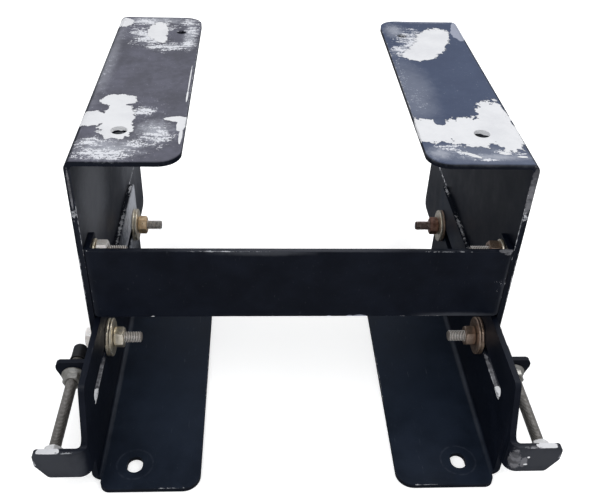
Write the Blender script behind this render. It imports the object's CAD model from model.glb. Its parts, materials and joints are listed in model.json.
"""Looks of the sliding machine mount: worn navy powder coat on bent plate, and aged M10 fasteners.

Metres, in the CAD frame: +X to the right, +Y to the back, +Z up, the origin on the floor.
"""

import json
import math

import bmesh
import bpy
from mathutils import Matrix, Vector


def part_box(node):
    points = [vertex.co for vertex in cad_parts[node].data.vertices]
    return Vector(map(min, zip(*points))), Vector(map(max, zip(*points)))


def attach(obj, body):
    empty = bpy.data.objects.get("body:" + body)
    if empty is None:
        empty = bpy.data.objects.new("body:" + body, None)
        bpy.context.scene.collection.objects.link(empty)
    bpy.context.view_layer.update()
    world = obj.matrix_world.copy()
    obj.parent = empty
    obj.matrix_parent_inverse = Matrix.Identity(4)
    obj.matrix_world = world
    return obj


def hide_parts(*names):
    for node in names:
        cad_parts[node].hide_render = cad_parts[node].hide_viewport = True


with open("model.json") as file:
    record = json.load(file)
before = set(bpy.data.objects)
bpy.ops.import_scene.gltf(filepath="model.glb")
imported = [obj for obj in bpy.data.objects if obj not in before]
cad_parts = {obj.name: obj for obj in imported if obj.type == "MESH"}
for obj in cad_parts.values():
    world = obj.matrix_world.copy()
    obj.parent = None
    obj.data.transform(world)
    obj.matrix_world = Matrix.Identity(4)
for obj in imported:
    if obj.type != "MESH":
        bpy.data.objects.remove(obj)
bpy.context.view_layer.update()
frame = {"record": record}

MM = 0.001
SIDES = {"left": -1.0, "right": 1.0}


def middle(node):
    """The middle of a CAD node's box."""
    low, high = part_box(node)
    return (low + high) / 2.0


# The bent plate
PLATE = 5.0 * MM
BEND_INSIDE = 3.0 * MM
BEND_OUTSIDE = BEND_INSIDE + PLATE
EDGE = 0.5 * MM                         # rounding of every cut edge

# Places read from the frame
RAIL_LOW, RAIL_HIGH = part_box("right_rail")
RISER_LOW, RISER_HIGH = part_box("right_riser")
BAR_LOW, BAR_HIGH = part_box("crossbar")
STUD_LOW, STUD_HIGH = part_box("right_stud")
WALL_OUTSIDE = BAR_HIGH.x
WALL_INSIDE = WALL_OUTSIDE - PLATE
TAB_FRONT = RAIL_LOW.y
TAB_BACK = TAB_FRONT + PLATE
RISER_INSIDE = WALL_OUTSIDE + 0.3 * MM
RISER_OUTSIDE = RISER_INSIDE + PLATE
CLAMP_Y = {spot: middle(f"clamp_nut_right_{spot}").y for spot in ("front", "back")}
CLAMP_Z = middle("clamp_nut_right_front").z
BAR_BOLT_Z = {spot: middle(f"crossbar_nut_right_{spot}").z for spot in ("upper", "lower")}
BAR_BOLT_Y = middle("crossbar_nut_right_upper").y
STUD_X = middle("right_stud").x
STUD_Z = middle("right_stud").z
TOP_FRONT = RISER_LOW.y + 5.0 * MM      # the plate above the lug stands a little behind the lug

# Sizes the frame's boxes don't tell, from the CAD and the photograph
TAB_LOW = 28.0 * MM
TAB_HIGH = 58.0 * MM
TAB_BEND = 10.0 * MM
SLOTS_Y = (-114.0 * MM, 66.0 * MM)
SLOT_LENGTH = 90.0 * MM
SLOT_WIDTH = 11.0 * MM
FLOOR_HOLES_Y = (-175.0 * MM, 98.0 * MM)
FLOOR_HOLE_X = 142.5 * MM
FLOOR_HOLE_LENGTH = 17.0 * MM
FLOOR_HOLE_WIDTH = 13.5 * MM
LUG_HEIGHT = 30.0 * MM
TOP_CORNER_R = 18.0 * MM
TOP_HOLES = ((147.0 * MM, -51.5 * MM, 6.75 * MM), (114.0 * MM, 163.0 * MM, 5.0 * MM))
BAR_BEND = 6.5 * MM
BOLT_HOLE_R = 5.4 * MM

HEX_ACROSS = 17.0 * MM
HEAD_HEIGHT = 6.4 * MM
SUNK_HEAD_R = 9.4 * MM
THREAD_R = 5.0 * MM
THREAD_ROOT_R = 4.15 * MM
PITCH = 1.5 * MM
CLEAR = 10.0 * MM                       # how far a cutting solid reaches past what it cuts


# Outlines

def arc_corner(before, corner, after, radius):
    """The points of a corner's arc, one every 6 degrees or closer."""
    to_before = (before - corner).normalized()
    to_after = (after - corner).normalized()
    half = to_before.angle(to_after) / 2.0
    reach = radius / math.tan(half)
    centre = corner + (to_before + to_after).normalized() * radius / math.sin(half)
    start = corner + to_before * reach - centre
    end = corner + to_after * reach - centre
    turn = start.angle_signed(end)
    steps = max(4, round(abs(turn) / math.radians(6.0)))
    return [centre + Matrix.Rotation(-turn * i / steps, 2) @ start for i in range(steps + 1)]


def rounded(corners):
    """A closed outline from (u, v) corners, or (u, v, radius) for a rounded one."""
    points = []
    places = [Vector(corner[:2]) for corner in corners]
    for i, corner in enumerate(corners):
        if len(corner) == 2:
            points.append(places[i])
        else:
            points += arc_corner(places[i - 1], places[i], places[(i + 1) % len(places)], corner[2])
    return points


def stadium(centre_u, centre_v, length, width):
    u = length / 2.0
    v = width / 2.0
    corners = [(-u, -v), (u, -v), (u, v), (-u, v)]
    return rounded([(centre_u + a, centre_v + b, v * 0.9999) for a, b in corners])


def mirrored(outline, side):
    return [Vector((point.x * side, point.y)) for point in outline]


# Solids

PLANES = {
    "XY": Matrix.Identity(4),
    "XZ": Matrix.Rotation(math.radians(90.0), 4, "X"),
    "YZ": Matrix.Rotation(math.radians(90.0), 4, "Z") @ Matrix.Rotation(math.radians(90.0), 4, "X"),
}
NORMALS = {"XY": Vector((0, 0, 1)), "XZ": Vector((0, 1, 0)), "YZ": Vector((1, 0, 0))}


def link(name, data):
    obj = bpy.data.objects.new(name, data)
    bpy.context.scene.collection.objects.link(obj)
    return obj


def to_mesh(name, shape):
    mesh = bpy.data.meshes.new(name)
    shape.to_mesh(mesh)
    shape.free()
    return mesh


def evaluated_mesh(obj):
    bpy.context.view_layer.update()
    graph = bpy.context.evaluated_depsgraph_get()
    return bpy.data.meshes.new_from_object(obj.evaluated_get(graph))


def plate(name, outline, plane, low, high):
    """A flat outline made solid between two heights along its plane's axis, in the CAD frame."""
    curve = bpy.data.curves.new(name, "CURVE")
    curve.dimensions = "2D"
    curve.fill_mode = "BOTH"
    curve.extrude = abs(high - low) / 2.0
    spline = curve.splines.new("POLY")
    spline.points.add(len(outline) - 1)
    for spot, point in zip(spline.points, outline):
        spot.co = (point.x, point.y, 0.0, 1.0)
    spline.use_cyclic_u = True
    guide = link(name + "_outline", curve)
    mesh = evaluated_mesh(guide)
    bpy.data.objects.remove(guide, do_unlink=True)
    mesh.transform(Matrix.Translation(NORMALS[plane] * (low + high) / 2.0) @ PLANES[plane])
    shape = bmesh.new()
    shape.from_mesh(mesh)
    bmesh.ops.remove_doubles(shape, verts=shape.verts, dist=1e-6)
    bmesh.ops.recalc_face_normals(shape, faces=shape.faces)
    shape.to_mesh(mesh)
    shape.free()
    mesh.materials.clear()
    return link(name, mesh)


def drill(name, radius, at, axis, reach=CLEAR, segments=64):
    """A cutter's rod or prism along an axis, reaching both ways from a point."""
    shape = bmesh.new()
    turn = {"Z": Matrix.Identity(4), "X": Matrix.Rotation(math.pi / 2, 4, "Y"),
            "Y": Matrix.Rotation(-math.pi / 2, 4, "X")}[axis]
    bmesh.ops.create_cone(shape, cap_ends=True, segments=segments, radius1=radius, radius2=radius,
                          depth=2.0 * reach, matrix=Matrix.Translation(at) @ turn)
    return link(name, to_mesh(name, shape))


def combine(target, other, operation):
    boolean = target.modifiers.new(operation.title(), "BOOLEAN")
    boolean.operation = operation
    boolean.object = other
    boolean.solver = "EXACT"
    other.hide_render = True


def cut(target, other):
    combine(target, other, "DIFFERENCE")


def keep_within(target, other):
    combine(target, other, "INTERSECT")


def combine_turned(target, profile, steps, operation):
    name = target.name + "_turned"
    combine(target, link(name, turned_mesh(name, profile, steps)), operation)


def settled(obj):
    """The object with its modifiers made real and the solids they used removed."""
    tools = [m.object for m in obj.modifiers if m.type == "BOOLEAN"]
    mesh = evaluated_mesh(obj)
    name = obj.name
    for spent in [obj, *tools]:
        bpy.data.objects.remove(spent, do_unlink=True)
    return link(name, mesh)


def bevel_edges(obj, width, segments, angle):
    bevel = obj.modifiers.new("Edges", "BEVEL")
    bevel.width = width
    bevel.segments = segments
    bevel.limit_method = "ANGLE"
    bevel.angle_limit = math.radians(angle)
    return bevel


def finish_plate(obj):
    """Small rounded edges with clean shading on the flats."""
    obj = settled(obj)
    obj.data.shade_smooth()
    bevel_edges(obj, EDGE, 3, 40.0).miter_outer = "MITER_ARC"
    normals = obj.modifiers.new("Normals", "WEIGHTED_NORMAL")
    normals.keep_sharp = True
    normals.weight = 80
    return obj


def turned_mesh(name, profile, steps):
    """A (radius, height) profile, outer side running down, turned about Z."""
    shape = bmesh.new()
    rings = []
    for radius, height in profile:
        if radius == 0.0:
            rings.append([shape.verts.new((0.0, 0.0, height))])
        else:
            rings.append([shape.verts.new((radius * math.cos(math.tau * i / steps),
                                           radius * math.sin(math.tau * i / steps), height))
                          for i in range(steps)])
    pairs = list(zip(rings, rings[1:]))
    if profile[0][0] > 0.0:
        pairs.append((rings[-1], rings[0]))
    for upper, lower in pairs:
        for i in range(steps):
            j = (i + 1) % steps
            corners = [upper[i % len(upper)], lower[i % len(lower)],
                       lower[j % len(lower)], upper[j % len(upper)]]
            corners = [c for k, c in enumerate(corners) if c is not corners[k - 1]]
            if len(corners) > 2:
                shape.faces.new(corners)
    bmesh.ops.recalc_face_normals(shape, faces=shape.faces)
    return to_mesh(name, shape)


def thread_mesh(name, length, plain=0.0):
    """A rod along +Z with a helical thread beyond its plain stretch, and chamfered at its far end."""
    steps = 36                          # to a turn
    crest = 0.16 * PITCH
    root = 0.20 * PITCH
    flank = (PITCH - crest - root) / 2.0
    profile = [(0.0, THREAD_ROOT_R), (root, THREAD_ROOT_R), (root + flank, THREAD_R),
               (root + flank + crest, THREAD_R)]
    chamfer = 1.1 * MM
    shank_r = THREAD_R * 0.985
    shape = bmesh.new()

    def ring_point(height, radius, angle):
        near = min(max(height, plain), length)
        if height <= plain and plain > 0.0:
            radius = shank_r
        limit = THREAD_R - chamfer + max(0.0, length - near)
        if plain == 0.0:
            limit = min(limit, THREAD_R - chamfer * 0.6 + near)
        radius = min(radius, limit)
        return shape.verts.new((radius * math.cos(angle), radius * math.sin(angle), near))

    helices = []
    turns = int(math.ceil((length - plain) / PITCH)) + 1
    for turn in range(-1, turns):
        for offset, radius in profile:
            start = plain + turn * PITCH + offset
            helices.append([ring_point(start + PITCH * i / steps, radius, math.tau * i / steps)
                            for i in range(steps + 1)])
    for lower, upper in zip(helices, helices[1:]):
        for i in range(steps):
            shape.faces.new((lower[i], lower[i + 1], upper[i + 1], upper[i]))
    bmesh.ops.remove_doubles(shape, verts=shape.verts, dist=2e-6)
    bmesh.ops.dissolve_degenerate(shape, edges=shape.edges, dist=1e-6)
    rims = [e for e in shape.edges if e.is_boundary]
    top_rim = [e for e in rims if e.verts[0].co.z > (length + plain) / 2.0]
    low_rim = [e for e in rims if e not in top_rim]
    bmesh.ops.holes_fill(shape, edges=top_rim, sides=0)
    if plain > 0.0:
        grown = bmesh.ops.extrude_edge_only(shape, edges=low_rim)["geom"]
        for vert in [g for g in grown if isinstance(g, bmesh.types.BMVert)]:
            vert.co.z = 0.0
        low_rim = [e for e in grown if isinstance(e, bmesh.types.BMEdge) and e.is_boundary]
    bmesh.ops.holes_fill(shape, edges=low_rim, sides=0)
    bmesh.ops.recalc_face_normals(shape, faces=shape.faces)
    return to_mesh(name, shape)


def smooth(mesh, angle):
    mesh.shade_smooth()
    mesh.set_sharp_from_angle(angle=math.radians(angle))
    return mesh


# Fasteners, each with its bearing face at the local origin and +Z away from it

def hex_solid(name, across, low, high, chamfer_low):
    """A hexagonal block whose corners are turned off at 30 degrees."""
    corner_r = across / 2.0 / math.cos(math.radians(30.0))
    block = drill(name, corner_r, Vector((0, 0, (low + high) / 2.0)), "Z", (high - low) / 2.0, 6)
    face_r = across * 0.475
    wide_r = corner_r + 1.0 * MM
    drop = (wide_r - face_r) * math.tan(math.radians(30.0))
    profile = [(0.0, high), (face_r, high), (wide_r, high - drop)]
    if chamfer_low:
        profile += [(wide_r, low + drop), (face_r, low), (0.0, low)]
    else:
        profile += [(wide_r, low - 1.0 * MM), (0.0, low - 1.0 * MM)]
    combine_turned(block, profile, 72, "INTERSECT")
    return block


def cut_bore(block, height):
    """A nut's hole, countersunk at both ends."""
    radius = 5.05 * MM
    sink = 0.7 * MM
    past = 1.0 * MM
    mouth = radius + sink + past
    profile = [(0.0, height + past), (mouth, height + past), (radius, height - sink), (radius, sink),
               (mouth, -past), (0.0, -past)]
    combine_turned(block, profile, 48, "DIFFERENCE")


def bevelled(obj, width=0.18 * MM):
    obj = settled(obj)
    bevel_edges(obj, width, 2, 25.0)
    return smooth(take_mesh(settled(obj)), 35.0)


def take_mesh(obj):
    mesh = obj.data
    bpy.data.objects.remove(obj, do_unlink=True)
    return mesh


def make_nut(name):
    height = 9.3 * MM
    block = hex_solid(name, HEX_ACROSS, 0.0, height, True)
    cut_bore(block, height)
    return bevelled(block, 0.12 * MM)


def make_flange_nut(name):
    height = 10.0 * MM
    flange_r = 10.9 * MM
    block = hex_solid(name, 15.0 * MM, 0.5 * MM, height, False)
    flange = [(0.0, 4.4 * MM), (7.0 * MM, 4.4 * MM), (7.5 * MM, 3.9 * MM), (8.6 * MM, 2.7 * MM),
              (flange_r - 0.5 * MM, 1.75 * MM), (flange_r - 0.1 * MM, 1.5 * MM), (flange_r, 1.1 * MM),
              (flange_r, 0.5 * MM), (flange_r - 0.3 * MM, 0.0), (0.0, 0.0)]
    combine_turned(block, flange, 96, "UNION")
    cut_bore(block, height)
    return bevelled(block, 0.12 * MM)


def make_bolt(name, length, thread_from):
    """A hex bolt: head above the bearing face, shank below it, threaded beyond a plain stretch."""
    block = hex_solid(name, HEX_ACROSS, 0.3 * MM, HEAD_HEIGHT, False)
    face = [(0.0, 1.0 * MM), (7.9 * MM, 1.0 * MM), (8.0 * MM, 0.0), (0.0, 0.0)]
    combine_turned(block, face, 64, "UNION")
    return with_shank(name, bevelled(block), length, thread_from, 0.0)


def make_sunk_screw(name, length, thread_from):
    """A countersunk screw with a hex socket, its head just under the plate's face at height 0."""
    top = -0.3 * MM
    rim = top - 0.3 * MM
    neck = rim - (SUNK_HEAD_R - THREAD_R)
    profile = [(0.0, top), (SUNK_HEAD_R - 0.2 * MM, top), (SUNK_HEAD_R, top - 0.15 * MM),
               (SUNK_HEAD_R, rim), (THREAD_R, neck), (THREAD_R, neck - 1.0 * MM), (0.0, neck - 1.0 * MM)]
    head = link(name, turned_mesh(name, profile, 72))
    socket = 3.5 * MM
    cut(head, drill(name + "_socket", socket, Vector((0, 0, 0)), "Z", socket, 6))
    return with_shank(name, bevelled(head, 0.1 * MM), length, thread_from, neck)


def with_shank(name, head, length, thread_from, start):
    """A head's mesh with the threaded shank that runs down from it."""
    shank = thread_mesh(name + "_shank", length + start, thread_from)
    shank.transform(Matrix.Translation((0, 0, start)) @ Matrix.Rotation(math.pi, 4, "X"))
    shape = bmesh.new()
    shape.from_mesh(head)
    shape.from_mesh(shank)
    return smooth(to_mesh(name, shape), 40.0)


def make_washer(name, radius, thickness):
    """A stamped ring: one edge rolled, the other slightly sharp."""
    hole = BOLT_HOLE_R
    roll = thickness * 0.42
    arc = [(radius - roll + roll * math.sin(a), thickness - roll + roll * math.cos(a))
           for a in (math.radians(18.0 * i) for i in range(6))]
    nick = 0.15 * MM
    profile = [*arc, (radius, nick), (radius - nick, 0.0), (hole + nick, 0.0), (hole, nick),
               (hole, thickness - 2.0 * nick), (hole + 2.0 * nick, thickness)]
    return smooth(turned_mesh(name, profile, 96), 50.0)


def make_cap(name):
    """A dipped vinyl thread cap with a soft end and a rolled lip."""
    outer = 6.6 * MM
    inner = 5.25 * MM
    length = 17.5 * MM
    dome = 1.9 * MM
    arc = [(outer - dome + dome * math.sin(a), length - dome + dome * math.cos(a))
           for a in (math.radians(10.0 * i) for i in range(10))]
    lip = [(outer + 0.5 * MM * math.sin(a), 0.9 * MM + 0.9 * MM * math.cos(a))
           for a in (math.radians(20.0 * i) for i in range(10))]
    profile = [(0.0, length), *arc, *lip, (inner + 0.3 * MM, 0.0), (inner, 0.3 * MM),
               (inner, length - 1.3 * MM), (0.0, length - 1.3 * MM)]
    return smooth(turned_mesh(name, profile, 64), 60.0)


# Bent plates

def make_rail(label, side):
    """Floor flange and wall bent from one plate, with the wall's front turned out as the anchor tab."""
    inner = RAIL_LOW.x
    back, top = RAIL_HIGH.y, RAIL_HIGH.z
    reach = RAIL_HIGH.x
    raw = top + 4.0 * MM
    flange_front = TAB_FRONT + 5.0 * MM
    flange_outer = WALL_OUTSIDE - 7.5 * MM
    notch = TAB_FRONT + 18.0 * MM
    past_wall = WALL_OUTSIDE + 2.0 * MM
    section = rounded([
        (inner, 0.0), (WALL_OUTSIDE, 0.0, BEND_OUTSIDE), (WALL_OUTSIDE, raw), (WALL_INSIDE, raw),
        (WALL_INSIDE, PLATE, BEND_INSIDE), (inner, PLATE)])
    body = plate(label + "_rail_plate", mirrored(section, side), "XZ",
                 flange_front - 2.0 * MM, back + 2.0 * MM)
    plan = rounded([
        (inner, back, 12.0 * MM), (inner, flange_front, 15.0 * MM),
        (flange_outer, flange_front, 8.0 * MM), (flange_outer, notch, 2.0 * MM),
        (past_wall, notch), (past_wall, back)])
    keep_within(body, plate(label + "_plan", mirrored(plan, side), "XY", -CLEAR, raw + CLEAR))

    wall_front = TAB_FRONT + 24.0 * MM
    overlap = wall_front + 14.0 * MM
    section = rounded([
        (WALL_INSIDE, overlap), (WALL_INSIDE, TAB_FRONT, TAB_BEND), (reach, TAB_FRONT),
        (reach, TAB_BACK), (WALL_OUTSIDE, TAB_BACK, TAB_BEND - PLATE), (WALL_OUTSIDE, overlap)])
    tab = plate(label + "_tab", mirrored(section, side), "XY", TAB_LOW, raw)
    within = WALL_INSIDE - CLEAR
    face = rounded([
        (within, TAB_LOW), (reach - 9.5 * MM, TAB_LOW, 4.0 * MM),
        (reach, TAB_LOW + 15.0 * MM, 4.0 * MM), (reach, TAB_HIGH, 4.5 * MM),
        (reach - 12.0 * MM, TAB_HIGH), (reach - 12.0 * MM, raw + CLEAR), (within, raw + CLEAR)])
    keep_within(tab, plate(label + "_tab_face", mirrored(face, side), "XZ",
                           TAB_FRONT - CLEAR, overlap + 16.0 * MM))
    combine(body, settled(tab), "UNION")
    trim = rounded([
        (back, -CLEAR), (back, top, 4.0 * MM), (wall_front, top, 6.0 * MM),
        (TAB_BACK + 1.4 * MM, TAB_HIGH, 3.0 * MM), (TAB_FRONT - CLEAR, TAB_HIGH),
        (TAB_FRONT - CLEAR, raw + 2.0 * CLEAR), (back + 2.0 * CLEAR, raw + 2.0 * CLEAR),
        (back + 2.0 * CLEAR, -CLEAR)])
    cut(body, plate(label + "_trim", trim, "YZ", side * 60.0 * MM, side * 240.0 * MM))
    for i, y in enumerate(SLOTS_Y):
        slot = stadium(y, CLAMP_Z, SLOT_LENGTH, SLOT_WIDTH)
        cut(body, plate(f"{label}_slot_{i}", slot, "YZ",
                        side * (WALL_INSIDE - 4.0 * MM), side * (WALL_OUTSIDE + 4.0 * MM)))
    for i, y in enumerate(FLOOR_HOLES_Y):
        along = stadium(y, 0.0, FLOOR_HOLE_LENGTH, FLOOR_HOLE_WIDTH)
        hole = [Vector((side * FLOOR_HOLE_X + p.y, p.x)) for p in along]
        cut(body, plate(f"{label}_floor_hole_{i}", hole, "XY", -4.0 * MM, 9.0 * MM))
    pocket_at = Vector((side * STUD_X, TAB_BACK + 0.25 * MM, STUD_Z))
    cut(body, drill(label + "_pocket", 5.25 * MM, pocket_at, "Y", 3.75 * MM, 48))
    return finish_plate(body)


def make_riser(label, side):
    """Upright and top flange bent from one plate, with a lug turned out low at the front."""
    low, high = RISER_LOW, RISER_HIGH
    top_inner = low.x
    under_top = high.z - PLATE
    lug_high = low.z + LUG_HEIGHT
    raw_low = low.z - 2.0 * MM
    section = rounded([
        (RISER_OUTSIDE, raw_low), (RISER_OUTSIDE, high.z, BEND_OUTSIDE), (top_inner, high.z),
        (top_inner, under_top), (RISER_INSIDE, under_top, BEND_INSIDE), (RISER_INSIDE, raw_low)])
    body = plate(label + "_riser_plate", mirrored(section, side), "XZ",
                 low.y - 2.0 * MM, high.y + 2.0 * MM)
    far = RISER_OUTSIDE + 4.0 * MM
    plan = rounded([(far, high.y), (top_inner, high.y, TOP_CORNER_R),
                    (top_inner, TOP_FRONT, TOP_CORNER_R), (far, TOP_FRONT)])
    keep_within(body, plate(label + "_plan", mirrored(plan, side), "XY", 0.0, high.z + CLEAR))
    relief = lug_high + 3.0 * MM
    edge = low.y + 11.0 * MM
    above = high.z + CLEAR
    outline = rounded([
        (low.y - CLEAR, above), (low.y - CLEAR, relief), (edge, relief, 1.5 * MM), (edge, low.z),
        (high.y, low.z, 10.0 * MM), (high.y, lug_high), (high.y + CLEAR, lug_high),
        (high.y + CLEAR, above)])
    keep_within(body, plate(label + "_outline", outline, "YZ", side * 80.0 * MM, side * 200.0 * MM))

    back = low.y + 20.0 * MM
    reach = high.x
    section = rounded([
        (RISER_INSIDE, back), (RISER_INSIDE, low.y, BEND_OUTSIDE), (reach, low.y),
        (reach, low.y + PLATE), (RISER_OUTSIDE, low.y + PLATE, BEND_INSIDE), (RISER_OUTSIDE, back)])
    lug = plate(label + "_lug", mirrored(section, side), "XY", low.z, lug_high)
    within = RISER_INSIDE - CLEAR
    face = rounded([
        (within, low.z - CLEAR), (reach - 12.0 * MM, low.z - CLEAR),
        (reach, low.z + 22.0 * MM, 4.0 * MM), (reach, lug_high, 5.0 * MM), (within, lug_high)])
    keep_within(lug, plate(label + "_lug_face", mirrored(face, side), "XZ", low.y - CLEAR, back + CLEAR))
    combine(body, settled(lug), "UNION")
    for i, (x, y, radius) in enumerate(TOP_HOLES):
        cut(body, drill(f"{label}_top_{i}", radius, Vector((side * x, y, high.z)), "Z"))
    for i, y in enumerate(CLAMP_Y.values()):
        at = Vector((side * RISER_INSIDE, y, CLAMP_Z))
        cut(body, drill(f"{label}_hole_{i}", BOLT_HOLE_R, at, "X", segments=40))
    mouth = SUNK_HEAD_R + 0.4 * MM
    rim = -0.6 * MM
    sink_profile = [
        (0.0, 3.0 * MM), (mouth, 3.0 * MM), (mouth, rim), (BOLT_HOLE_R, rim - (mouth - BOLT_HOLE_R)),
        (BOLT_HOLE_R, -8.0 * MM), (0.0, -8.0 * MM)]
    for i, z in enumerate(BAR_BOLT_Z.values()):
        sink = link(f"{label}_sink_{i}", turned_mesh("sink", sink_profile, 48))
        at = Matrix.Translation((side * RISER_OUTSIDE, BAR_BOLT_Y, z))
        sink.matrix_world = at @ Matrix.Rotation(side * math.pi / 2.0, 4, "Y")
        cut(body, sink)
    at = Vector((side * STUD_X, low.y, STUD_Z))
    cut(body, drill(label + "_lug_hole", 5.8 * MM, at, "Y", segments=48))
    return finish_plate(body)


def make_crossbar():
    """A strip across the front with both ends turned back."""
    low, high = BAR_LOW, BAR_HIGH
    end = high.x
    inner = end - PLATE
    inner_bend = BAR_BEND - PLATE
    section = rounded([
        (-end, high.y), (-end, low.y, BAR_BEND), (end, low.y, BAR_BEND), (end, high.y), (inner, high.y),
        (inner, low.y + PLATE, inner_bend), (-inner, low.y + PLATE, inner_bend), (-inner, high.y)])
    body = plate("crossbar_plate", section, "XY", low.z - 2.0 * MM, high.z + 2.0 * MM)
    view = rounded([
        (low.y - CLEAR, low.z), (high.y, low.z, 4.0 * MM), (high.y, high.z, 4.0 * MM),
        (low.y - CLEAR, high.z)])
    keep_within(body, plate("crossbar_view", view, "YZ", -200.0 * MM, 200.0 * MM))
    for side in SIDES.values():
        for z in BAR_BOLT_Z.values():
            at = Vector((side * inner, BAR_BOLT_Y, z))
            cut(body, drill("crossbar_hole", BOLT_HOLE_R, at, "X", segments=40))
    return finish_plate(body)


# Node graphs

class Nodes:
    """Short names for building a node tree."""

    def __init__(self, owner):
        owner.use_nodes = True
        self.tree = owner.node_tree
        self.tree.nodes.clear()

    def add(self, kind):
        return self.tree.nodes.new(kind)

    def put(self, socket, value):
        if isinstance(value, bpy.types.NodeSocket):
            self.tree.links.new(value, socket)
        else:
            socket.default_value = (*value, 1.0) if socket.type == "RGBA" else value

    def math(self, operation, a, b=0.0, clamp=False):
        node = self.add("ShaderNodeMath")
        node.operation = operation
        node.use_clamp = clamp
        self.put(node.inputs[0], a)
        self.put(node.inputs[1], b)
        return node.outputs[0]

    def vector(self, operation, a, b=(0.0, 0.0, 0.0)):
        node = self.add("ShaderNodeVectorMath")
        node.operation = operation
        self.put(node.inputs[0], a)
        self.put(node.inputs[1], b)
        return node.outputs["Value" if operation in ("LENGTH", "DISTANCE", "DOT_PRODUCT") else "Vector"]

    def ramp(self, value, low, high, out_low=0.0, out_high=1.0):
        """Smooth step from low to high."""
        node = self.add("ShaderNodeMapRange")
        node.interpolation_type = "SMOOTHSTEP"
        self.put(node.inputs["Value"], value)
        node.inputs["From Min"].default_value = low
        node.inputs["From Max"].default_value = high
        node.inputs["To Min"].default_value = out_low
        node.inputs["To Max"].default_value = out_high
        return node.outputs["Result"]

    def mix(self, factor, a, b):
        node = self.add("ShaderNodeMix")
        node.data_type = "RGBA"
        self.put(node.inputs["Factor"], factor)
        self.put(node.inputs[6], a)
        self.put(node.inputs[7], b)
        return node.outputs[2]

    def blend(self, factor, a, b):
        """Plain numbers mixed by a factor."""
        node = self.add("ShaderNodeMix")
        self.put(node.inputs["Factor"], factor)
        self.put(node.inputs["A"], a)
        self.put(node.inputs["B"], b)
        return node.outputs[0]

    def highest(self, values):
        best = values[0]
        for value in values[1:]:
            best = self.math("MAXIMUM", best, value)
        return best

    def light_ray(self, kind):
        return self.add("ShaderNodeLightPath").outputs[f"Is {kind} Ray"]


class Graph(Nodes):
    """A material's nodes, ending in one principled shader."""

    def __init__(self, name):
        self.material = bpy.data.materials.new(name)
        super().__init__(self.material)
        self.shader = self.add("ShaderNodeBsdfPrincipled")
        self.put(self.add("ShaderNodeOutputMaterial").inputs["Surface"], self.shader.outputs[0])
        self.place = self.add("ShaderNodeTexCoord").outputs["Object"]

    def noise(self, scale, detail, rough, stretch=None, shift=0.0):
        place = self.place
        if stretch:
            place = self.vector("MULTIPLY", place, stretch)
        node = self.add("ShaderNodeTexNoise")
        node.noise_dimensions = "4D"
        self.put(node.inputs["Vector"], place)
        node.inputs["W"].default_value = shift
        node.inputs["Scale"].default_value = scale
        node.inputs["Detail"].default_value = detail
        node.inputs["Roughness"].default_value = rough
        return node.outputs["Fac"]

    def axes(self):
        node = self.add("ShaderNodeSeparateXYZ")
        self.put(node.inputs[0], self.place)
        return node.outputs

    def bump(self, height, depth):
        node = self.add("ShaderNodeBump")
        node.inputs["Strength"].default_value = 1.0
        node.inputs["Distance"].default_value = depth
        self.put(node.inputs["Height"], height)
        return node.outputs[0]

    def spots(self, spots):
        """How deep a point lies in the nearest of some ellipsoids.

        Each is (centre, radii, turn about Z in degrees), in mm: 1 at its middle, 0 at its surface.
        """
        depths = []
        for centre, radii, *turn in spots:
            away = self.vector("SUBTRACT", self.place, tuple(c * MM for c in centre))
            if turn:
                spin = self.add("ShaderNodeVectorRotate")
                spin.rotation_type = "Z_AXIS"
                spin.inputs["Angle"].default_value = math.radians(-turn[0])
                self.put(spin.inputs["Vector"], away)
                away = spin.outputs[0]
            scaled = self.vector("DIVIDE", away, tuple(r * MM for r in radii))
            depths.append(self.math("SUBTRACT", 1.0, self.vector("LENGTH", scaled)))
        return self.highest(depths)

    def surface(self, colour, rough, metallic=0.0, normal=None, specular=0.5):
        self.put(self.shader.inputs["Base Color"], colour)
        self.put(self.shader.inputs["Roughness"], rough)
        self.put(self.shader.inputs["Metallic"], metallic)
        self.shader.inputs["Specular IOR Level"].default_value = specular
        if normal:
            self.put(self.shader.inputs["Normal"], normal)
        return self.material


# Paint

NAVY = (0.0020, 0.0034, 0.0080)
NAVY_LIGHT = (0.0042, 0.0066, 0.0140)
PRIMERS = ((0.70, 0.705, 0.725), (0.62, 0.625, 0.65))
CHALK = (0.60, 0.62, 0.68)
RUBBED = (0.68, 0.69, 0.73)
PALE = (0.34, 0.36, 0.44)
GREYS = ((0.065, 0.065, 0.072), (0.165, 0.165, 0.18))
CHIP_TONES = ((0.10, 0.105, 0.12), (0.50, 0.51, 0.54))
BLOOM = (0.09, 0.15, 0.25)
BRUISE = (0.040, 0.043, 0.055)
PRESSED = (0.11, 0.12, 0.15)
TOP_Z = RISER_HIGH.z / MM               # the top flange's face, in mm as the wear is


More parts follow.
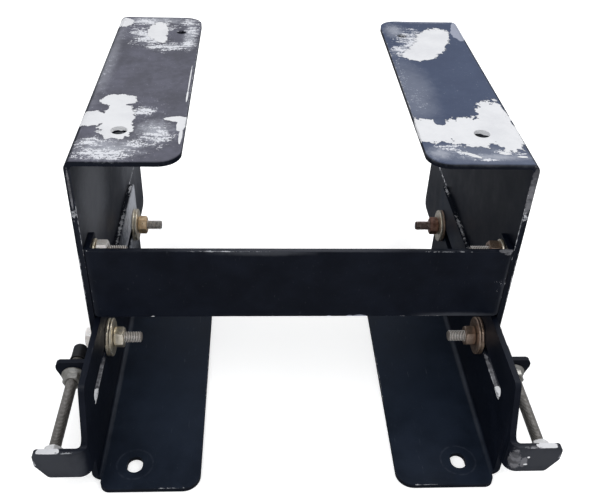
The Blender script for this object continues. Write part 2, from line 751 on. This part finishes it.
def paint(name, bare, scuffs, chips, worn, dust, shift, haze=(), kept=(), pale=(), chalk=None,
          rings=(), dusty=0.06, hazy=0.40, bloomed=(), specks=()):
    """Semi-gloss navy powder coat, in layers from the sound paint to what shows where it has gone.

    haze is a chalky veil, dust a fainter one and bloomed a bluish one, specks are fine pale grit,
    scuffs are rubbed, pale is thinned paint, worn is rubbed down to grey, bare is clean primer with
    islands of kept paint, and chips are broken edges. chalk is the faded top's two tones.
    """
    g = Graph(name)
    broad = g.noise(34.0, 5.0, 0.62, shift=shift)
    ragged = g.noise(190.0, 5.0, 0.62, shift=shift + 3.0)
    fine = g.noise(640.0, 4.0, 0.68, shift=shift + 7.0)
    peel = g.noise(1300.0, 2.0, 0.5, shift=shift + 11.0)
    smear = g.noise(150.0, 5.0, 0.65, stretch=(0.55, 1.7, 1.0), shift=shift + 2.0)
    drag = g.noise(70.0, 4.0, 0.6, stretch=(7.0, 0.7, 2.0), shift=shift + 5.0)

    def swayed(value, *swings):
        """A value moved up and down by noises, each with the reach of its swing."""
        for noise, reach in swings:
            swing = g.math("MULTIPLY", g.math("SUBTRACT", noise, 0.5), reach)
            value = g.math("ADD", value, swing)
        return value

    def laid(under, mask, strength, tone):
        return g.mix(g.math("MULTIPLY", mask, strength), under, tone)

    colour = g.mix(g.ramp(broad, 0.35, 0.7), NAVY, NAVY_LIGHT)
    speck = g.ramp(fine, 0.63, 0.72)
    if chalk:
        top = g.ramp(g.axes()[2], RISER_HIGH.z - 1.5 * MM, RISER_HIGH.z - 0.3 * MM)
        mottle = swayed(g.ramp(swayed(broad, (ragged, 0.5)), 0.28, 0.75), (fine, 0.5))
        colour = g.mix(top, colour, g.mix(mottle, *chalk))
        specked = g.math("MULTIPLY", g.math("MULTIPLY", speck, top), g.ramp(mottle, 0.3, 1.0, 0.16, 0.70))
        colour = g.mix(specked, colour, CHALK)
    else:
        colour = laid(colour, speck, 0.05, CHALK)
    colour = laid(colour, g.ramp(drag, 0.64, 0.76), 0.05, CHALK)
    if bloomed:
        film = swayed(g.spots(bloomed), (broad, 0.9))
        colour = laid(colour, g.ramp(film, -0.1, 0.8), 0.07, BLOOM)
    film = swayed(g.spots(dust), (broad, 0.9), (ragged, 0.4))
    colour = laid(colour, g.ramp(film, -0.1, 0.8), dusty, CHALK)
    if haze:
        veil = swayed(g.spots(haze), (ragged, 1.1), (fine, 0.7))
        colour = laid(colour, g.ramp(veil, -0.05, 1.0), hazy, CHALK)
    if pale:
        thin = swayed(g.spots(pale), (broad, 0.8), (ragged, 0.5))
        colour = laid(colour, g.ramp(thin, 0.0, 0.05), 0.85, PALE)
    grey = swayed(g.spots(worn), (ragged, 1.3), (fine, 1.1))
    colour = laid(colour, g.ramp(grey, 0.12, 0.26), 0.9, g.mix(g.ramp(smear, 0.4, 0.6), *GREYS))
    if specks:
        grit = swayed(g.math("MULTIPLY", g.spots(specks), 0.5), (fine, 3.4), (ragged, 1.2))
        colour = laid(colour, g.ramp(grit, 0.62, 0.95), 0.6, CHALK)

    depth = g.spots(scuffs)
    rubbed = g.ramp(swayed(g.math("MULTIPLY", depth, 0.85), (smear, 3.6), (fine, 3.2)), 0.40, 0.58)
    colour = laid(colour, g.ramp(swayed(depth, (ragged, 1.8)), -0.05, 0.9), 0.17, CHALK)
    colour = laid(colour, rubbed, 0.93, RUBBED)

    torn = swayed(g.spots(bare), (broad, 0.75), (ragged, 0.95), (fine, 0.35))
    if kept:
        held = swayed(g.spots(kept), (ragged, 0.9))
        torn = g.math("MINIMUM", torn, g.math("MULTIPLY", held, -1.0))
    lost = g.ramp(torn, 0.0, 0.025)
    lip = g.math("SUBTRACT", g.ramp(torn, -0.05, 0.0), lost, clamp=True)
    chipped = g.ramp(swayed(g.spots(chips), (ragged, 3.0), (fine, 2.2)), 0.50, 0.62)
    colour = laid(colour, lip, 0.6, BRUISE)
    colour = g.mix(lost, colour, g.mix(g.ramp(swayed(broad, (fine, 0.3)), 0.35, 0.75), *PRIMERS))
    colour = laid(colour, chipped, 0.85, g.mix(g.ramp(smear, 0.38, 0.62), *CHIP_TONES))
    for centre, radius, width in rings:
        mark = g.math("MULTIPLY", ring_mark(g, centre, radius, width), g.ramp(ragged, 0.35, 0.62))
        colour = laid(colour, mark, 0.16, PRESSED)

    gone = g.math("MAXIMUM", lost, chipped)
    rough = g.blend(g.math("MAXIMUM", gone, rubbed), g.ramp(broad, 0.2, 0.8, 0.36, 0.52), 0.74)
    height = g.math("SUBTRACT", g.math("MULTIPLY", peel, 0.18), gone)
    height = g.math("SUBTRACT", height, g.math("MULTIPLY", rubbed, 0.3))
    return g.surface(colour, rough, normal=g.bump(height, 0.08 * MM), specular=0.17)


def ring_mark(g, centre, radius, width):
    """A thin circle on an upward face, where a washer or a foot has pressed."""
    away = g.vector("SUBTRACT", g.place, tuple(c * MM for c in centre))
    flat = g.vector("LENGTH", g.vector("MULTIPLY", away, (1.0, 1.0, 0.0)))
    off = g.math("ABSOLUTE", g.math("SUBTRACT", flat, radius * MM))
    return g.ramp(off, 0.0, width * MM, 1.0, 0.0)


def on_top(spots):
    """Wear on the top flange from (x, y, reach in x, reach in y, turn)."""
    return tuple(((x, y, TOP_Z), (across, along, 4.0), *turn) for x, y, across, along, *turn in spots)


TOP_WEAR = {
    "left": dict(
        bare=on_top(((-155, 3, 15, 12), (-152, -28, 14, 32), (-173, -31, 17, 14), (-148, -50, 13, 19),
                     (-138, 166, 10, 26), (-135, 148, 7, 18, 20), (-102, -31, 11, 5),
                     (-98.5, -42, 3.6, 10), (-97.5, -60, 1.4, 14), (-97.4, 12, 0.9, 12),
                     (-97.4, 48, 0.6, 30), (-177, 189, 11, 13, 20))),
        kept=on_top(((-141, -5, 7, 2.2, 8), (-164, -12, 3, 5), (-150, -69, 5, 5))),
        scuffs=on_top(((-153, -89, 27, 14), (-166, -72, 16, 9, -12), (-131, -74, 13, 9),
                       (-132, -18, 12, 10), (-147, 150, 19, 33, 24), (-125, 123, 26, 13),
                       (-105, 133, 10, 18), (-152, 190, 24, 14), (-108, 190, 11, 13),
                       (-138, 178, 18, 25), (-114, -60, 14, 20), (-103, 168, 8, 24))),
        specks=on_top(((-176, 60, 16, 110), (-128, -20, 24, 50), (-112, 190, 20, 30))),
        dust=on_top(((-178, 90, 12, 120),)), dusty=0.20,
        haze=on_top(((-120, -50, 20, 24), (-140, 196, 44, 14), (-150, -80, 34, 24), (-105, 150, 9, 40))),
        chalk=((0.074, 0.074, 0.092), (0.118, 0.118, 0.152))),
    "right": dict(
        bare=on_top(((104, -46, 30, 20), (140, -47, 26, 27), (166, -36, 18, 45),
                     (140, 143, 16.5, 48, -21), (123, 111, 17, 14), (131, -87, 8, 2.2, -35),
                     (158, -84, 5, 2, -10), (170, -89, 4, 1.6))),
        kept=on_top(((116, -30, 5, 7), (147, -15, 6, 4), (181, -30, 4, 7), (182, -58, 3, 5))),
        pale=on_top(((177, 178, 9, 28, -6),)),
        scuffs=on_top(((110, 122, 17, 18), (121, 150, 15, 32, -15), (124, -84, 12, 4, -35),
                       (116, -75, 12, 6), (160, -82, 14, 4, -8), (142, -94, 18, 2.5))),
        specks=on_top(((103, 14, 20, 52), (99, 70, 9, 90), (112, 186, 26, 30), (128, -88, 34, 12),
                       (184, 40, 7, 100))),
        dust=on_top(((104, 30, 24, 90), (140, -86, 60, 26))), dusty=0.14,
        haze=on_top(((108, 176, 15, 26), (106, -84, 14, 12), (150, -90, 34, 7), (140, 206, 44, 8),
                     (182, 60, 4, 80))),
        chalk=((0.046, 0.062, 0.112), (0.058, 0.077, 0.132))),
}


def on_side(side, spots):
    """Wear written for the right side, taken to either side."""
    return tuple(((side * x, y, z), radii) for (x, y, z), radii in spots)


def riser_paint(label, side):
    """The top flange is faded and worn where the machine's feet stood, and the edges are chipped."""
    outer = RISER_OUTSIDE / MM
    face = RISER_INSIDE / MM
    edge = 180.0                         # inside the upright's thickness
    inner = RISER_LOW.x / MM
    front, back = TOP_FRONT / MM, RISER_HIGH.y / MM
    bottom = RISER_LOW.z / MM
    corner = TOP_Z - 0.4                 # just under the top flange's edges
    chips = [((edge, front, 216), (4, 1.6, 7)), ((181.9, front, 150), (0.8, 1.0, 46)),
             ((177.6, front, 200), (0.5, 0.8, 50)), ((edge, front, 88), (2.4, 1, 8)),
             ((edge, back, 150), (3.5, 1.4, 22)), ((edge, back, 90), (3.5, 1.4, 12)),
             ((217, -103, 45), (1.8, 4, 8)), ((edge, 60, bottom), (3.5, 40, 1.2)),
             ((edge, 150, bottom), (3.5, 20, 1.2)), ((inner, 50, corner), (1.1, 170, 1.0)),
             ((140, back, corner), (50, 1.2, 1.2)), ((outer, 60, 261), (1.0, 160, 2.6))]
    worn = [((186, RISER_LOW.y / MM, 57), (7, 3, 3)), ((edge, front, 238), (1.2, 1.0, 24))]
    if label == "right":
        worn += [((179.6, front, 238), (3.4, 1.8, 32))]
    rubbed_line = [((face, 100, 106), (0.8, 110, 2.0))]
    dust = [((face, 200, 170), (1.2, 90, 90))]
    if label == "left":
        dust = [((face, 185, 170), (1.4, 120, 120)), ((face, -40, 200), (1.2, 70, 70))]
    bloomed = [((outer, 90, 120), (1.5, 220, 170)), ((outer, 20, 40), (1.5, 260, 60))]
    x, y, radius = TOP_HOLES[1]
    ring = ((side * x / MM, y / MM, 0.0), radius / MM + 3.5, 2.6)
    wear = dict(TOP_WEAR[label])
    return paint(label + "_riser_coat", scuffs=wear.pop("scuffs") + on_side(side, rubbed_line),
                 chips=on_side(side, chips), worn=on_side(side, worn), rings=[ring],
                 bloomed=on_side(side, bloomed), dust=on_side(side, dust) + wear.pop("dust"),
                 shift=1.7 + 3.6 * (side > 0), **wear)


def rail_paint(label, side):
    """Rubbed along the wall's top edge and its slots, and chipped at the tab's bend and the edges."""
    wall = WALL_INSIDE / MM
    edge = 174.5                         # inside the wall's thickness
    top = RAIL_HIGH.z / MM
    tab = TAB_FRONT / MM
    tab_top = TAB_HIGH / MM - 0.2
    slot_low = (CLAMP_Z - SLOT_WIDTH / 2.0) / MM - 0.1
    chips = [((edge, -62, top), (2.6, 20, 1.0)), ((edge, 40, top), (2.6, 44, 1.2)),
             ((wall, -150, slot_low), (1.8, 10, 1.6)), ((wall, -130, slot_low), (1.2, 24, 1.0)),
             ((wall, 30, slot_low), (1.4, 24, 1.0)), ((85, -60, 4.6), (0.9, 70, 0.9)),
             ((110, -200, 4.6), (20, 0.9, 0.8)), ((215.5, tab, 46), (1.4, 3, 9)),
             ((190, tab, tab_top), (10, 2, 0.8)), ((142.5, -175, 4.8), (7.6, 9.4, 0.6))]
    scuffs = [((edge, 110, top), (2, 12, 1.2))]
    bare = [((174.2, -151, 65.6), (4.2, 8.5, 2.6)), ((203, -202.5, 58.2), (9.0, 4.4, 0.8))]
    worn = [((173.4, -128, 65.2), (2.6, 34, 1.2))]
    dust = [((200, tab, 44), (44, 4, 34)), ((168.6, -40, 5.4), (2.4, 170, 2.6))]
    bloomed = [((120, -60, 4.8), (110, 300, 1.6)), ((wall, 80, 80), (1.2, 90, 60))]
    haze = []
    if label == "left":
        haze = [((wall, 108, 98), (1.8, 90, 70))]
    else:
        worn += [((178.5, -203, 42), (6.0, 6, 15)), ((186, tab, 40), (3.4, 1.6, 8)),
                 ((192, tab + 1, tab_top), (9, 1.6, 0.7))]
        bare += [((189, tab, 46), (1.2, 1, 1.2)), ((188, tab, 37), (1.8, 1, 1.0))]
    rings = [((side * FLOOR_HOLE_X / MM, y / MM, 5.0), 15.5, 1.4) for y in FLOOR_HOLES_Y]
    bare, scuffs, chips, worn, dust, haze, bloomed = (
        on_side(side, spots) for spots in (bare, scuffs, chips, worn, dust, haze, bloomed))
    return paint(label + "_rail_coat", bare, scuffs, chips, worn, dust, 9.1 + side,
                 haze=haze, hazy=0.9, bloomed=bloomed, rings=rings)


def crossbar_paint():
    """Rubbed and chipped along its long edges and at its bends."""
    low, high = BAR_LOW / MM, BAR_HIGH / MM
    front, bottom, top, end = low.y, low.z, high.z, high.x
    bare = [((-126, front, bottom), (1.6, 1, 1.2))]
    pale = [((53, front, bottom), (6, 1.6, 1.8)), ((44, front, bottom), (3, 1.4, 1.5)),
            ((26, front, bottom), (2.4, 1.4, 1.2))]
    chips = [((-174, front, top), (3, 2, 0.8)), ((-60, front, bottom), (26, 2, 0.7)),
             ((110, front, bottom), (40, 2, 0.8)), ((-60, front, top), (50, 2, 0.4)),
             ((120, front, top), (30, 2, 0.4)), ((end - 1.5, front + 1.0, 150), (1.2, 1.6, 34)),
             ((-end + 1.5, front + 1.0, 150), (1.0, 1.4, 34))]
    scuffs = [((172, -84, 150), (8, 20, 14))]
    worn = [((171, front + 1.5, top), (8, 3.5, 1.4)), ((172, front, top - 2), (5, 1.6, 1.6))]
    dust = [((0, front + 2.5, top), (190, 3.2, 1.0)), ((140, front, bottom + 1), (46, 1, 4)),
            ((end - 1, front, 150), (4, 2.4, 42)), ((-30, front, top - 1), (50, 1, 4))]
    return paint("crossbar_coat", bare, scuffs, chips, worn, dust, 14.6, pale=pale)


# Metals and vinyl

RUST = (0.11, 0.045, 0.018)


def metal(name, shift, threaded, clean, stain, grime, rough=(0.24, 0.44), rust=0.0, level=0.88):
    """Plated or bare steel, stained and scratched, with rust spots and grime in a thread's roots."""
    g = Graph(name)
    cloud = g.noise(260.0, 5.0, 0.6, shift=shift)
    grain = g.noise(1800.0, 3.0, 0.6, shift=shift + 5.0)
    scratches = g.noise(420.0, 3.0, 0.7, stretch=(1.0, 1.0, 7.0), shift=shift + 2.0)
    colour = g.mix(g.ramp(cloud, 0.32, 0.68), clean, stain)
    colour = g.mix(g.math("MULTIPLY", g.ramp(scratches, 0.58, 0.75), 0.35), colour, grime)
    if threaded:
        away = g.vector("LENGTH", g.vector("MULTIPLY", g.place, (1.0, 1.0, 0.0)))
        root = g.ramp(away, THREAD_ROOT_R + 0.1 * MM, THREAD_R - 0.15 * MM, 0.88, 0.0)
        colour = g.mix(root, colour, tuple(0.35 * c for c in grime))
    grainy = g.math("ADD", cloud, g.math("MULTIPLY", g.math("SUBTRACT", grain, 0.5), 0.5))
    spotted = g.ramp(grainy, 0.80 - rust, 0.90 - rust)
    colour = g.mix(g.math("MULTIPLY", spotted, 0.8), colour, RUST)
    shine = g.math("MULTIPLY", g.math("SUBTRACT", 1.0, g.math("MULTIPLY", spotted, 0.75)), level)
    roughness = g.blend(spotted, g.ramp(cloud, 0.25, 0.75, rough[0], rough[1]), 0.8)
    height = g.math("ADD", g.math("MULTIPLY", grain, 0.35), g.math("MULTIPLY", spotted, 0.6))
    return g.surface(colour, roughness, shine, g.bump(height, 0.03 * MM))


FINISHES = {
    "yellow_zinc": dict(clean=(0.88, 0.81, 0.68), stain=(0.68, 0.59, 0.42), grime=(0.34, 0.28, 0.18)),
    "bronzed_zinc": dict(clean=(0.52, 0.39, 0.30), stain=(0.36, 0.25, 0.18), grime=(0.17, 0.11, 0.08),
                         rust=0.03),
    "rusted_steel": dict(clean=(0.36, 0.21, 0.155), stain=(0.20, 0.10, 0.07), grime=(0.09, 0.05, 0.035),
                         rust=0.10, rough=(0.34, 0.55)),
    "silver_thread": dict(clean=(0.97, 0.94, 0.90), stain=(0.86, 0.80, 0.74), grime=(0.36, 0.30, 0.25),
                          level=0.45),
    "dull_threaded_steel": dict(clean=(0.50, 0.475, 0.44), stain=(0.34, 0.32, 0.29),
                                grime=(0.10, 0.092, 0.084), rough=(0.32, 0.50), level=0.72),
    "bright_zinc": dict(clean=(0.86, 0.86, 0.86), stain=(0.74, 0.74, 0.74), grime=(0.45, 0.45, 0.45),
                        rough=(0.42, 0.6), level=0.25),
}
# Pieces whose tint differs from the rest of their slot
DULLED = dict(clean=(0.40, 0.39, 0.36), stain=(0.28, 0.27, 0.245), grime=(0.12, 0.115, 0.10), level=0.6)
TINTS = {
    "left_adjuster_nut": DULLED,
    "right_adjuster_nut": DULLED,
    "clamp_nut_left_back": dict(clean=(0.95, 0.73, 0.47), stain=(0.74, 0.50, 0.28),
                                grime=(0.34, 0.21, 0.11), level=0.7),
    "clamp_bolt_right_back": dict(clean=(0.70, 0.58, 0.52), stain=(0.48, 0.35, 0.29),
                                  grime=(0.18, 0.12, 0.10), rust=0.05, level=0.7),
}


def vinyl(name):
    g = Graph(name)
    cloud = g.noise(300.0, 4.0, 0.6)
    colour = g.mix(g.ramp(cloud, 0.3, 0.7), (0.008, 0.008, 0.009), (0.017, 0.017, 0.019))
    grain = g.noise(2400.0, 2.0, 0.5)
    rough = g.ramp(cloud, 0.2, 0.8, 0.38, 0.6)
    return g.surface(colour, rough, normal=g.bump(grain, 0.02 * MM), specular=0.4)


# Placing on the frame

SLOTS = {entry["node"]: entry["material_slot"] for entry in frame["record"]["subparts"]}
BODIES = {node: body for body, nodes in frame["record"]["behaviour"]["bodies"].items() for node in nodes}


def stand_for(piece, node, material=None):
    """The piece takes the node's place, its body and its record slot."""
    piece.name = node + "_look"
    piece.data.materials.clear()
    if material is None:
        threaded = any(word in node for word in ("bolt", "screw", "stud"))
        finish = TINTS.get(node, FINISHES.get(SLOTS[node]))
        material = metal(node + "_metal", sum(map(ord, node)) % 97, threaded, **finish)
    piece.data.materials.append(material)
    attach(piece, BODIES[node])
    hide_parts(node)


def facing(axis):
    """The turn that takes +Z to an axis."""
    return Vector(axis).to_track_quat("Z", "Y").to_matrix().to_4x4()


def set_fastener(node, mesh, direction, turn=0.0):
    """A copy of a fastener's mesh, its bearing face on the CAD node's own and +Z along a direction."""
    low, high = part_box(node)
    axis = Vector(direction)
    half = abs((high - low).dot(axis)) / 2.0
    lowest = min(v.co.z for v in mesh.vertices)
    start = middle(node) - axis * (half + lowest)
    spin = Matrix.Rotation(math.radians(turn), 4, "Z")
    piece = link(node + "_look", mesh.copy())
    piece.matrix_world = Matrix.Translation(start) @ facing(axis) @ spin
    stand_for(piece, node)


# How far each clamp nut is turned about its bolt, in degrees
NUT_TURNS = {"left_front": 34.4, "left_back": 25.4, "right_front": 17.6, "right_back": 28.0}


def place_plates():
    for label, side in SIDES.items():
        stand_for(make_rail(label, side), label + "_rail", rail_paint(label, side))
        stand_for(make_riser(label, side), label + "_riser", riser_paint(label, side))
    stand_for(make_crossbar(), "crossbar", crossbar_paint())


def place_fasteners():
    nut = make_nut("nut")
    flange_nut = make_flange_nut("flange_nut")
    clamp_washer = make_washer("clamp_washer", 17.5 * MM, 2.4 * MM)
    head_washer = make_washer("head_washer", 12.0 * MM, 2.0 * MM)
    bar_washer = make_washer("bar_washer", 11.0 * MM, 2.0 * MM)
    low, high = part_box("clamp_bolt_right_front")
    clamp_bolt = make_bolt("clamp_bolt", high.x - low.x - HEAD_HEIGHT, 14.0 * MM)
    low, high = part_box("crossbar_screw_right_upper")
    bar_screw = make_sunk_screw("bar_screw", RISER_OUTSIDE - low.x, 4.0 * MM)
    stud = smooth(thread_mesh("stud", STUD_HIGH.y - STUD_LOW.y), 40.0)
    for label, side in SIDES.items():
        outward, inward = (side, 0, 0), (-side, 0, 0)
        for i, spot in enumerate(CLAMP_Y):
            tag = f"{label}_{spot}"
            set_fastener("clamp_bolt_" + tag, clamp_bolt, outward, 17.0 + 31.0 * i)
            set_fastener("clamp_head_washer_" + tag, head_washer, outward)
            set_fastener("clamp_washer_" + tag, clamp_washer, inward)
            set_fastener("clamp_top_washer_" + tag, clamp_washer, inward)
            set_fastener("clamp_nut_" + tag, nut, inward, NUT_TURNS[tag])
        for i, spot in enumerate(BAR_BOLT_Z):
            tag = f"{label}_{spot}"
            set_fastener("crossbar_screw_" + tag, bar_screw, outward, 8.0 + 23.0 * i)
            set_fastener("crossbar_washer_" + tag, bar_washer, inward)
            set_fastener("crossbar_nut_" + tag, nut, inward, 24.0)
        set_fastener(label + "_stud", stud, (0, 1, 0))
        set_fastener(label + "_anchor_nut", flange_nut, (0, 1, 0), 12.0)
        set_fastener(label + "_adjuster_nut", flange_nut, (0, -1, 0), 24.0)
    at = middle("left_stud_cap")
    at.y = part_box("left_stud_cap")[0].y
    cap = link("cap", make_cap("cap"))
    cap.matrix_world = Matrix.Translation(at) @ facing((0, 1, 0))
    stand_for(cap, "left_stud_cap", vinyl("cap_vinyl"))


# Stage

# The photograph's view, from the front and well above, turned and tilted a little
CAMERA_AT = Vector((-37.9 * MM, -601.5 * MM, 555.1 * MM))
CAMERA_TURNS = (3.738, -36.57, 2.323)    # yaw, pitch and roll, in degrees
LENS = 46.41
LIT_POINT = Vector((0.0, 0.0, 0.12))


def add_camera():
    yaw, pitch, roll = (math.radians(turn) for turn in CAMERA_TURNS)
    ahead = Vector((math.sin(yaw) * math.cos(pitch), math.cos(yaw) * math.cos(pitch), math.sin(pitch)))
    level = Vector((math.cos(yaw), -math.sin(yaw), 0.0))
    upright = level.cross(ahead)
    right = math.cos(roll) * level + math.sin(roll) * upright
    up = -math.sin(roll) * level + math.cos(roll) * upright
    data = bpy.data.cameras.new("camera")
    data.sensor_fit = "HORIZONTAL"
    data.sensor_width = 36.0
    data.lens = LENS
    data.clip_start = 0.01
    camera = link("camera", data)
    turn = Matrix((right, up, -ahead)).transposed().to_4x4()
    camera.matrix_world = Matrix.Translation(CAMERA_AT) @ turn
    bpy.context.scene.camera = camera


def add_light(name, at, size, power):
    data = bpy.data.lights.new(name, "AREA")
    data.shape = "DISK"
    data.size = size
    data.energy = power
    lamp = link(name, data)
    lamp.location = at
    lamp.rotation_euler = (LIT_POINT - Vector(at)).to_track_quat("-Z", "Y").to_euler()


def add_floor():
    """White to look at, and darker as the paint and the metal mirror it."""
    shape = bmesh.new()
    bmesh.ops.create_grid(shape, x_segments=4, y_segments=4, size=6.0)
    floor = link("floor", to_mesh("floor", shape))
    floor.location.z = -0.4 * MM
    g = Graph("floor_white")
    seen = g.mix(g.light_ray("Glossy"), (0.97, 0.97, 0.97), (0.24, 0.25, 0.275))
    floor.data.materials.append(g.surface(seen, 0.9, specular=0.0))
    g.put(g.shader.inputs["Emission Color"], (1.0, 1.0, 1.0))
    g.put(g.shader.inputs["Emission Strength"], g.math("MULTIPLY", g.light_ray("Camera"), 0.42))


def add_world():
    """An even white studio, but mirrored as a light above, another in front, and dark around."""
    world = bpy.data.worlds.new("studio")
    g = Nodes(world)

    def background(colour, strength):
        node = g.add("ShaderNodeBackground")
        g.put(node.inputs["Color"], colour)
        g.put(node.inputs["Strength"], strength)
        return node.outputs[0]

    way = g.add("ShaderNodeTexCoord").outputs["Generated"]
    above = g.ramp(g.vector("DOT_PRODUCT", way, (0.10, 0.10, 0.99)), 0.3, 1.0, 0.28, 1.0)
    window = g.ramp(g.vector("DOT_PRODUCT", way, (0.0, -0.97, 0.24)), 0.80, 0.96, 0.0, 0.75)
    choice = g.add("ShaderNodeMixShader")
    g.put(choice.inputs[0], g.light_ray("Glossy"))
    g.put(choice.inputs[1], background((0.98, 0.99, 1.0), 0.84))
    g.put(choice.inputs[2], background((0.90, 0.94, 1.04), g.math("ADD", above, window)))
    g.put(g.add("ShaderNodeOutputWorld").inputs["Surface"], choice.outputs[0])
    bpy.context.scene.world = world
    bpy.context.scene.view_settings.view_transform = "Standard"


place_plates()
place_fasteners()
add_camera()
add_light("key", (1.0, 0.5, 1.5), 1.0, 7.0)
add_light("top", (-0.5, -0.6, 1.7), 1.4, 7.0)
add_floor()
add_world()
